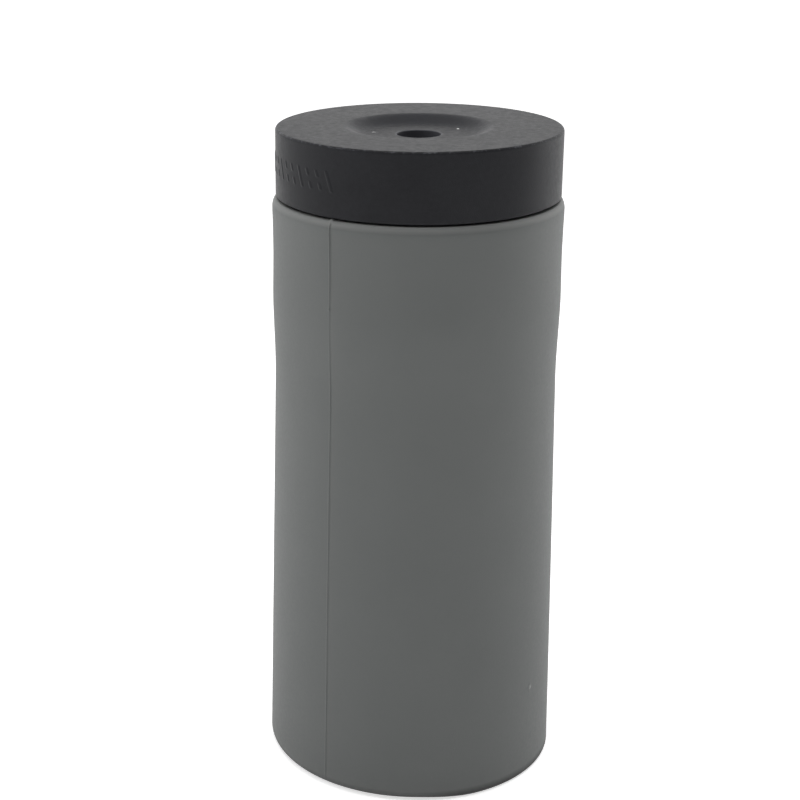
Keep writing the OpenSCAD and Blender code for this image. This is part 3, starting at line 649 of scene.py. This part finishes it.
def make_tub():
    near = [0.07, 0.14, 0.2, 0.27, 0.34, 0.42, 0.5, 0.6, 0.75, 0.95, 1.2]
    near = [-n for n in near[::-1]] + [0] + near
    angles = even_angles(240, (RIDGE_AT, RIDGE_AT - 180, PIP_AT + 360), near)
    tub = lathe("tub_shell", finer_rows(tub_profile()), angles, tub_shape)
    tub.data.materials.append(silicone())
    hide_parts("tub")
    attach(tub, "tub")


# ------------------------------------------------------------------ the top cover

GRIP_FIRST, GRIP_LAST, GRIP_BARS = 160.0, 234.0, 15      # directions of the end bars, and how many
GRIP_Z = (COVER_Z + TOTAL_H) / 2
GRIP_LEAN = math.radians(20)
GRIP_HEIGHT = 0.13            # how far a bar stands out


def cover_profile():
    edge = 0.9
    side_z = [TOTAL_H - edge] + [GRIP_Z + 4.2 - 0.15 * i for i in range(57)] + [COVER_Z + 0.35]
    top = ([(HOLE_R, DISH_Z - 0.35)] + arc(HOLE_R + 0.35, DISH_Z - 0.35, 0.35, 180, 90, 4)
           + line((HOLE_R + 0.4, DISH_Z), (DISH_R - 8, DISH_Z), 8)
           + ease_z((DISH_R - 8, DISH_Z), (DISH_R, TOTAL_H), 22)
           + line((DISH_R, TOTAL_H), (COVER_R - edge, TOTAL_H), 16)
           + arc(COVER_R - edge, TOTAL_H - edge, edge, 90, 0, 6)
           + [(COVER_R, z) for z in side_z]
           + arc(COVER_R - 0.35, COVER_Z + 0.35, 0.35, 0, -90, 4))
    under = [(REBATE_R, COVER_Z), (REBATE_R, SEAL_TOP_Z), (COVER_INNER_R, SEAL_TOP_Z),
             (COVER_INNER_R, TOTAL_H - COVER_T - 2), (COVER_INNER_R - 2, TOTAL_H - COVER_T),
             (DISH_R + 2, TOTAL_H - COVER_T), (DISH_R - 6, DISH_Z - COVER_T),
             (8.2, DISH_Z - COVER_T), (8.2, DISH_Z - 5.5), (HOLE_R, DISH_Z - 5.5)]
    return top + under


def cover_shape(r, z, ang):
    """Low slanted grip bars on the left of the side wall, two in three of them broken in two."""
    side = r > COVER_R - 0.02
    dr = np.zeros_like(r)
    arc_mm = np.radians(turned(ang, GRIP_FIRST)) * COVER_R
    pitch = math.radians((GRIP_LAST - GRIP_FIRST) / (GRIP_BARS - 1)) * COVER_R
    up = z - GRIP_Z
    lean = arc_mm + up * math.tan(GRIP_LEAN)
    k = np.clip(np.round(lean / pitch), 0, GRIP_BARS - 1)
    across = np.abs(lean - k * pitch) * math.cos(GRIP_LEAN) - 0.2
    along = np.where(k % 3 == 2, np.abs(up) - 2.8, np.abs(np.abs(up) - 1.9) - 0.75)
    away = np.hypot(np.clip(across, 0, None), np.clip(along, 0, None))
    t = np.clip(1 - away / 0.55, 0, 1)
    dr += side * GRIP_HEIGHT * (t * t * (3 - 2 * t))
    dr += side * 0.03 * np.sin(np.radians(ang) * 2 + 1.0)
    top = (z > DISH_Z - 0.01) & (r > HOLE_R + 0.5) & (r < COVER_R - 1)
    x, y = r * np.cos(np.radians(ang)), r * np.sin(np.radians(ang))
    dz = top * 0.02 * (np.sin(x / 9.0) * np.sin(y / 11.0 + 1) - 1)
    return dr, dz


RECESS_Y, RECESS_LOW, RECESS_HIGH = 42.5, 193.9, 201.2
RECESS_HALF = 6.6
CLEAR_Y = 48                  # clear of the cover's outside
LAMP_AT = math.radians(108)
POST_TOP = 209.9              # inside the cover's top
COVER_POSTS = [(12, 32.9, 3.6, 186.1), (12, -32.9, 3.6, 186.1), (-35, 0, 3.6, 186.1),
               (30, 20, 2.6, BOARD_TOP), (30, -20, 2.6, BOARD_TOP),
               (-12, 33, 2.6, BOARD_TOP), (-12, -33, 2.6, BOARD_TOP)]         # x, y, radius, foot height
GATE_MARKS = (("left", -14.2, 1.7, 0.6, 0.30), ("right", 12.3, 9.0, 0.5, 0.85))   # side, x, y, size, grey of the painted glint
COVER_BLACK = (0.0215, 0.0218, 0.0245)
PAINTED_LIGHT_AND_WEAR_RINGS = ((HOLE_R - 0.1, HOLE_R + 0.3, 0.5, 3.8, False),             # painted light on the hole's wall, against the shade in the hole
          (DISH_R - 6.6, DISH_R - 1.4, 1.2, 1.6, False),             # painted light on the dish's wall
          (COVER_R - 0.7, COVER_R - 0.25, 0.2, 3.2, True))           # the rim: patchy wear with a painted highlight
# pale patches: painted glints beside the two gate marks in the dish, and scratches on the top
PAINTED_GLINTS_AND_SCUFFS = (((-14.6, 2.0, DISH_Z), 2.6, 9.0),
          ((14.5, 8.0, DISH_Z), 2.2, 4.0),
          ((-30.0, -24.0, TOTAL_H), 5.0, 3.0))


def cover_material(name, painted_light_and_wear_rings=(), painted_glints_and_scuffs=()):
    """Near-black plastic with a spark finish, for the cover and its door."""
    return moulded(name, COVER_BLACK, 0.42, 0.38, 0.016, 0.12, 0.45, None, painted_light_and_wear_rings, painted_glints_and_scuffs, IOR=1.19)


def cover_cutters():
    """The port's recess, the relief for the open door, and the holes for the socket, hinge and lamp."""
    recess_low = (-RECESS_HALF, RECESS_Y, RECESS_LOW)
    relief_low = (-RECESS_HALF, HINGE_Y - 0.5, RECESS_LOW - 0.75)
    lamp = (math.cos(LAMP_AT), math.sin(LAMP_AT), 0)
    return [box_mesh("recess", recess_low, (RECESS_HALF, CLEAR_Y, RECESS_HIGH), 0.35),
            box_mesh("relief", relief_low, (RECESS_HALF, CLEAR_Y, RECESS_LOW + 0.6)),
            slot_prism("port_hole", (0, PORT_Z), 9.5, 3.8, 39, 45),
            rod("hinge_hole", (-7.3, HINGE_Y, HINGE_Z), (1, 0, 0), 0.56, 14.6),
            rod("lamp_hole", (40 * lamp[0], 40 * lamp[1], PORT_Z), lamp, 1.25, 8)]


def make_gate_mark(side, x, y, size, shade):
    """A small dome that the mould's gate left in the dish, coloured pale as a painted glint."""
    foot = DISH_Z - 0.1
    dome = [(0, foot), (size, foot)] + arc(0, foot, size, 8, 88, 6)[1:]
    dome = [(r, foot + (z - DISH_Z + 0.1) * 0.6) for r, z in dome] + [(0, foot + size * 0.6)]
    mark = lathe("cover_gate_mark_" + side, dome, even_angles(24))
    mark.data.transform(Matrix.Translation((x * MM, y * MM, 0)))
    # the dome's pale colour is a painted glint
    pale = (shade, shade, shade)
    mark.data.materials.append(moulded("gate_mark", pale, 0.25, 0.3, 0.003, 0.05, 0.2, None))
    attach(mark, "head")


def make_cover():
    fine_count = int((GRIP_LAST - GRIP_FIRST + 6.4) / 0.18) + 1
    fine = [GRIP_FIRST - 3.2 + 0.18 * i for i in range(fine_count)]
    even = [360 * i / 200 for i in range(200)]
    coarse = [a for a in even if not GRIP_FIRST - 4 < a < GRIP_LAST + 4]
    cover = ring_lathe("cover_shell", cover_profile(), sorted(fine + coarse), cover_shape)
    combine(cover, [box_mesh("pad", (-8.5, 40.6, 193.4), (8.5, 43.6, 201.8))], "UNION")
    posts = [rod("post%d" % i, (x, y, z), (0, 0, 1), r, POST_TOP - z)
             for i, (x, y, r, z) in enumerate(COVER_POSTS)]
    cutters = cover_cutters()
    combine(cover, posts, "UNION")
    combine(cover, cutters, "DIFFERENCE")
    plastic = cover_material("cover_plastic", PAINTED_LIGHT_AND_WEAR_RINGS, PAINTED_GLINTS_AND_SCUFFS)
    finish_piece(cover, plastic, "top_cover", "head")
    for mark in GATE_MARKS:
        make_gate_mark(*mark)


# ------------------------------------------------------------------ the power button

def make_button():
    """A round cap with a ring groove and a dished middle, on a flange and a stem."""
    r, top, flange_z = HOLE_R - 0.4, BUTTON_TOP, FLANGE_LOW
    profile = ([(0, 200.5), (1.7, 200.5), (2.0, 200.8), (2.0, flange_z), (8.0, flange_z)]
               + arc(8.0, flange_z + 0.3, 0.3, -90, 0, 3)
               + arc(8.0, flange_z + 1.0, 0.3, 0, 90, 3)
               + [(r + 0.25, flange_z + 1.3), (r, flange_z + 1.55)]
               + line((r, flange_z + 1.8), (r, top - 0.5), 4)
               + arc(r - 0.5, top - 0.5, 0.5, 0, 90, 6)
               + [(4.75, top), (4.6, top - 0.08), (4.45, top - 0.22), (4.25, top - 0.25),
                  (4.05, top - 0.22), (3.9, top - 0.08), (3.75, top - 0.02)]
               + [(3.4 * (1 - i / 8), top - 0.02 - 0.26 * math.sin(math.pi / 2 * i / 8)) for i in range(9)])
    button = lathe("power_button_cap", profile, even_angles(96))
    # grey well above the cover's black: painted light against the shade in the hole
    grey = (0.12, 0.12, 0.125)
    button.data.materials.append(moulded("button_plastic", grey, 0.42, 0.3, 0.008, 0.1, 0.4, None))
    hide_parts("power_button")
    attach(button, "power_button")


# ------------------------------------------------------------------ the button's spring

SPRING_R, SPRING_WIRE = 6.0, 0.35
SPRING_TURNS, SPRING_CLOSED = 4.5, 0.75       # turns in all, and closed turns at each end
CLOSED_PITCH = 2 * SPRING_WIRE * 1.1


def make_spring():
    """A round-wire spring with closed ends."""
    steps, sides = 40, 12
    low = BOARD_TOP + SPRING_WIRE + 0.05
    high = FLANGE_LOW - SPRING_WIRE - 0.1
    open_turns = SPRING_TURNS - 2 * SPRING_CLOSED
    pitch = (high - low - 2 * SPRING_CLOSED * CLOSED_PITCH) / open_turns
    verts = []
    for i in range(int(SPRING_TURNS * steps) + 1):
        turn = i / steps
        opened = min(max(turn - SPRING_CLOSED, 0), open_turns)
        z = low + opened * pitch + (turn - opened) * CLOSED_PITCH
        a = 2 * math.pi * turn
        for t in [2 * math.pi * k / sides for k in range(sides)]:
            r = SPRING_R + SPRING_WIRE * math.cos(t)
            verts.append((r * math.cos(a) * MM, r * math.sin(a) * MM, (z + SPRING_WIRE * math.sin(t)) * MM))
    rings = len(verts) // sides
    faces = []
    for i in range(rings - 1):
        for k in range(sides):
            n = (k + 1) % sides
            faces.append((i * sides + k, (i + 1) * sides + k, (i + 1) * sides + n, i * sides + n))
    faces += [tuple(range(sides)), tuple(range(rings * sides - 1, (rings - 1) * sides - 1, -1))]
    spring = make_object("power_button_spring", verts, faces, 50)
    spring.data.materials.append(metal("spring_steel", (0.60, 0.60, 0.60), 0.22))
    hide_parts("button_spring")
    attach(spring, "head")
    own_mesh(spring)


# ------------------------------------------------------------------ the plug housing

PLUG_Z = 154.9
PLUG_FLOOR_Z = 158.0
BOSS_Z = 150.9
PLUG_R = 42.0
PLUG_INNER_R = 39.8
FLANGE_Z, FLANGE_T, FLANGE_R = 190.15, 1.6, 44.0
SPIGOT_R, SPIGOT_TOP = 42.4, 193.2            # the ring above the flange that fits inside the cover
SCREW_POSTS = ((12, 32.9), (12, -32.9), (-35, 0))
PLATE_POSTS = ((0, 28), (0, -28), (30, 20), (30, -20))
IDLER_X = 22.4


def groove(z, depth=0.8, half=1.3, edge=0.2):
    """A ring groove in the plug's wall, with small roundings at its two outer edges."""
    return (arc(PLUG_R - edge, z - half - edge, edge, 0, 90, 3)
            + [(PLUG_R - depth, z - half), (PLUG_R - depth, z + half)]
            + arc(PLUG_R - edge, z + half + edge, edge, -90, 0, 3))


def make_housing():
    edge = 0.3
    outside = ([(0, BOSS_Z)] + line((1, BOSS_Z), (7.0, BOSS_Z), 2)
               + arc(7.0, BOSS_Z + 0.6, 0.6, -90, 0, 5)
               + arc(8.3, PLUG_Z - 0.7, 0.7, 180, 90, 5)
               + line((9, PLUG_Z), (PLUG_R - 3, PLUG_Z), 8)
               + arc(PLUG_R - 3, PLUG_Z + 3, 3, -90, 0, 10)
               + groove(PLUG_Z + 9) + groove(PLUG_Z + 24)
               + [(PLUG_R, FLANGE_Z - 0.5)] + arc(PLUG_R + 0.5, FLANGE_Z - 0.5, 0.5, 180, 90, 4)
               + arc(FLANGE_R - edge, FLANGE_Z + edge, edge, -90, 0, 3)
               + arc(FLANGE_R - edge, FLANGE_Z + FLANGE_T - edge, edge, 0, 90, 3)
               + [(SPIGOT_R, FLANGE_Z + FLANGE_T)]
               + arc(SPIGOT_R - edge, SPIGOT_TOP - edge, edge, 0, 90, 3)
               + [(PLUG_INNER_R, SPIGOT_TOP)])
    inside = [(PLUG_INNER_R, PLUG_FLOOR_Z + 1.0)] + arc(
        PLUG_INNER_R - 1, PLUG_FLOOR_Z + 1, 1, 0, -90, 5)
    housing = lathe("plug_housing_shell", outside + inside + [(0, PLUG_FLOOR_Z)], even_angles(160))
    posts = ([(x, y, 4.3, 157, 186) for x, y in SCREW_POSTS]
             + [(x, y, 3.2, 157, 170) for x, y in PLATE_POSTS]
             + [(IDLER_X, 0, 4.0, 157, 159)])
    holes = ([(x, y, 3.2, 153.9, 183) for x, y in SCREW_POSTS]
             + [(x, y, 1.6, 154.9, 194) for x, y in SCREW_POSTS]
             + [(x, y, 1.05, 163, 171) for x, y in PLATE_POSTS]
             + [(IDLER_X, 0, 1.51, 156.2, 161), (0, 0, 5.2, 149.9, 155.1), (0, 0, 5.0, 154.6, 164.6)])
    for group, operation in ((posts, "UNION"), (holes, "DIFFERENCE")):
        rods = [rod("cylinder", (x, y, low), (0, 0, 1), r, high - low, 40) for x, y, r, low, high in group]
        combine(housing, rods, operation)
    plastic = moulded("housing_plastic", (0.024, 0.0245, 0.027), 0.40, 0.5, 0.010, IOR=1.3)
    finish_piece(housing, plastic, "plug_housing", "head")


# ------------------------------------------------------------------ the agitator

AGITATOR_LOW = 30.0
AGITATOR_TOP = 150.0
AGITATOR_R = 24.0
FINS = 3
FIN_T = 2.4
DRAIN_AT_R, DRAIN_R = 17.5, 3.0               # drain holes in the base, one between each two fins


def upright_slot(x, z, length, width, steps=12):
    """Outline in x and z of a slot with round ends, long along z."""
    half = (length - width) / 2
    return (arc(x, z + half, width / 2, 0, 180, steps) + arc(x, z - half, width / 2, 180, 360, steps))


def plate_prism(name, outline, thick):
    """An upright plate with its outline in x and z, centred on y = 0."""
    outline = tidy(outline, 0.02)
    if math.dist(outline[0], outline[-1]) < 0.02:
        outline = outline[:-1]
    return prism(name, outline, -thick / 2, thick / 2)


def make_fin(index):
    low, high = AGITATOR_LOW + 2, AGITATOR_TOP - 14
    outline = ([(4, low), (AGITATOR_R - 1.6, low)]
               + ease((AGITATOR_R - 1.6, low + 30), (12, high - 12), 24)
               + arc(9, high - 4, 3, 0, 90, 8) + [(4, high)])
    fin = plate_prism("fin", outline, FIN_T)
    combine(fin, [plate_prism("slot_low", upright_slot(15, low + 22, 24, 6), 4),
                  plate_prism("slot_high", upright_slot(13, low + 52, 20, 5), 4)], "DIFFERENCE")
    round_edges(fin, 0.7)
    fin.data.transform(Matrix.Rotation(2 * math.pi * index / FINS, 4, "Z"))
    return fin


def make_agitator():
    hub = ([(0, AGITATOR_LOW)] + line((1, AGITATOR_LOW), (AGITATOR_R - 1.5, AGITATOR_LOW), 6)
           + arc(AGITATOR_R - 1.5, AGITATOR_LOW + 1.5, 1.5, -90, 90, 10)
           + ease((13, AGITATOR_LOW + 3), (6.3, AGITATOR_LOW + 18), 14)
           + line((6.3, AGITATOR_LOW + 18), (7.5, AGITATOR_TOP - 22), 10)
           + [(7.5, AGITATOR_TOP - 0.8)] + arc(6.7, AGITATOR_TOP - 0.8, 0.8, 0, 90, 5)
           + [(0, AGITATOR_TOP)])
    agitator = lathe("agitator_body", hub, even_angles(96))
    combine(agitator, [make_fin(i) for i in range(FINS)], "UNION")
    holes = [rod("bore", (0, 0, 136.8), (0, 0, 1), 2.51, 20),
             rod("screw_hole", (0, 0, 144), (1, 0, 0), 1.52, 10)]
    for i in range(FINS):
        turn = 2 * math.pi * (i + 0.5) / FINS
        place = (DRAIN_AT_R * math.cos(turn), DRAIN_AT_R * math.sin(turn), AGITATOR_LOW - 1)
        holes.append(rod("drain", place, (0, 0, 1), DRAIN_R, 5, 48))
    combine(agitator, holes, "DIFFERENCE")
    plastic = moulded("agitator_plastic", (0.52, 0.53, 0.53), 0.38, 0.45, 0.010, 0.04, 0.10)
    finish_piece(agitator, plastic, "agitator", "drive")


# ------------------------------------------------------------------ the port door

def make_door():
    """A flap with the cover's curve, two ribs with hinge barrels and pins, and a tongue for the port."""
    y, z, half = HINGE_Y, HINGE_Z, 6.3
    plate = box_mesh("port_door_flap", (-half, y + 0.3, z - 0.4), (half, 47, 200.9))
    combine(plate, [rod("wall", (0, 0, 190), (0, 0, 1), COVER_R - 0.1, 14, 720)], "INTERSECT")
    round_edges(plate, 0.22, 60)
    parts = []
    for side in (-1, 1):
        inner, outer = sorted((side * half, side * (half - 1)))
        parts.append(box_mesh("rib", (inner + 0.01, y - 0.5, z), (outer - 0.01, y + 0.8, z + 5), 0.15))
        parts.append(rod("barrel", (inner + 0.02, y, z), (1, 0, 0), 0.7, 0.96))
        parts.append(rod("pin", ((half - 0.5) if side > 0 else -half - 0.9, y, z), (1, 0, 0), 0.5, 1.4))
    parts.append(slot_prism("tongue", (0, PORT_Z), 7.6, 2.1, 41.7, y + 0.5))
    combine(plate, parts, "UNION")
    finish_piece(plate, cover_material("door_plastic"), "port_door", "port_door")


# ------------------------------------------------------------------ the nodes that keep their CAD mesh

def paint_sealing_and_fixings():
    paint_node(moulded("seal_rubber", (0.06, 0.06, 0.062), 0.62, 0.6, 0.006, 0.14),
               "cover_seal", "plug_rings", "well_plugs")
    paint_node(metal("screw_steel", (0.60, 0.60, 0.58), 0.28, (1, 1, 1), 0.4),
               "cover_screws", "plate_screws", "motor_screws", "board_screws", "agitator_screw")


def paint_drive():
    paint_node(metal("plate_steel", (0.55, 0.56, 0.57), 0.34, (14, 1, 1), 0.6), "gear_plate")
    paint_node(metal("motor_steel", (0.62, 0.62, 0.61), 0.24, (1, 1, 12), 0.5), "motor_can")
    paint_node(moulded("magnet", (0.06, 0.06, 0.065), 0.55, 0.5, 0.02), "motor_magnets")
    paint_node(moulded("end_cap_plastic", (0.75, 0.74, 0.70), 0.45, 0.5, 0.01, 0.05), "motor_end_cap")
    paint_node(metal("terminal_brass", (0.80, 0.62, 0.30), 0.25), "motor_terminals")
    paint_node(metal("winding_copper", (0.72, 0.33, 0.16), 0.3, (1, 1, 9), 0.5, 0.03), "armature")
    paint_node(metal("pinion_brass", (0.80, 0.60, 0.28), 0.26), "pinion")
    paint_node(metal("shaft_steel", (0.58, 0.58, 0.57), 0.2, (1, 1, 16), 0.4, 0.002),
               "output_shaft", "idler_pin")
    paint_node(moulded("gear_plastic", (0.80, 0.78, 0.70), 0.38, 0.6, 0.008, 0.06, 0.1),
               "idler_gear", "output_gear")
    paint_node(metal("clip_steel", (0.20, 0.20, 0.21), 0.35), "shaft_clip")
    paint_node(metal("bush_bronze", (0.55, 0.36, 0.16), 0.45, (1, 1, 1), 0.3, 0.01), "upper_bush")
    paint_node(metal("bearing_steel", (0.65, 0.65, 0.65), 0.16), "lower_bearing")
    paint_node(moulded("shaft_seal_rubber", (0.03, 0.03, 0.03), 0.55, 0.5, 0.006), "shaft_seal")


def paint_power_and_control():
    paint_node(moulded("cell_sleeve", (0.06, 0.16, 0.36), 0.22, 0.9, 0.006, 0.06, 0.2), "battery_cells")
    paint_node(moulded("cradle_plastic", (0.03, 0.03, 0.03), 0.5), "battery_cradle")
    paint_node(metal("contact_nickel", (0.66, 0.64, 0.58), 0.3), "cell_contacts")
    paint_node(moulded("board_laminate", (0.02, 0.13, 0.06), 0.25, 1.4, 0.012, 0.2, 0.2), "control_board")
    paint_node(moulded("chip_plastic", (0.02, 0.02, 0.022), 0.5, 0.2, 0.008), "board_chips")
    paint_node(moulded("capacitor_sleeve", (0.03, 0.05, 0.12), 0.25, 0.7, 0.004), "capacitor")
    paint_node(metal("socket_shell", (0.68, 0.68, 0.67), 0.22, (1, 12, 1)), "usb_socket")
    paint_node(moulded("lamp_lens", (0.40, 0.42, 0.40), 0.28, 0.5, 0.002, 0.03, 0.0, 0.1), "charge_lamp")
    paint_node(moulded("switch_plastic", (0.04, 0.04, 0.04), 0.45), "tact_switch")
    paint_node(moulded("plunger_plastic", (0.30, 0.30, 0.31), 0.4, 0.4, 0.006, 0.06, 0.2), "switch_plunger")
    paint_node(moulded("guide_plastic", (0.70, 0.70, 0.68), 0.42, 0.5, 0.01, 0.05), "button_guide")


# ------------------------------------------------------------------ run

make_camera()
make_world()
make_floor()
make_lights()
make_tub()
make_cover()
make_button()
make_housing()
make_agitator()
make_door()
make_spring()
paint_sealing_and_fixings()
paint_drive()
paint_power_and_control()

bpy.context.scene.view_settings.view_transform = "Standard"
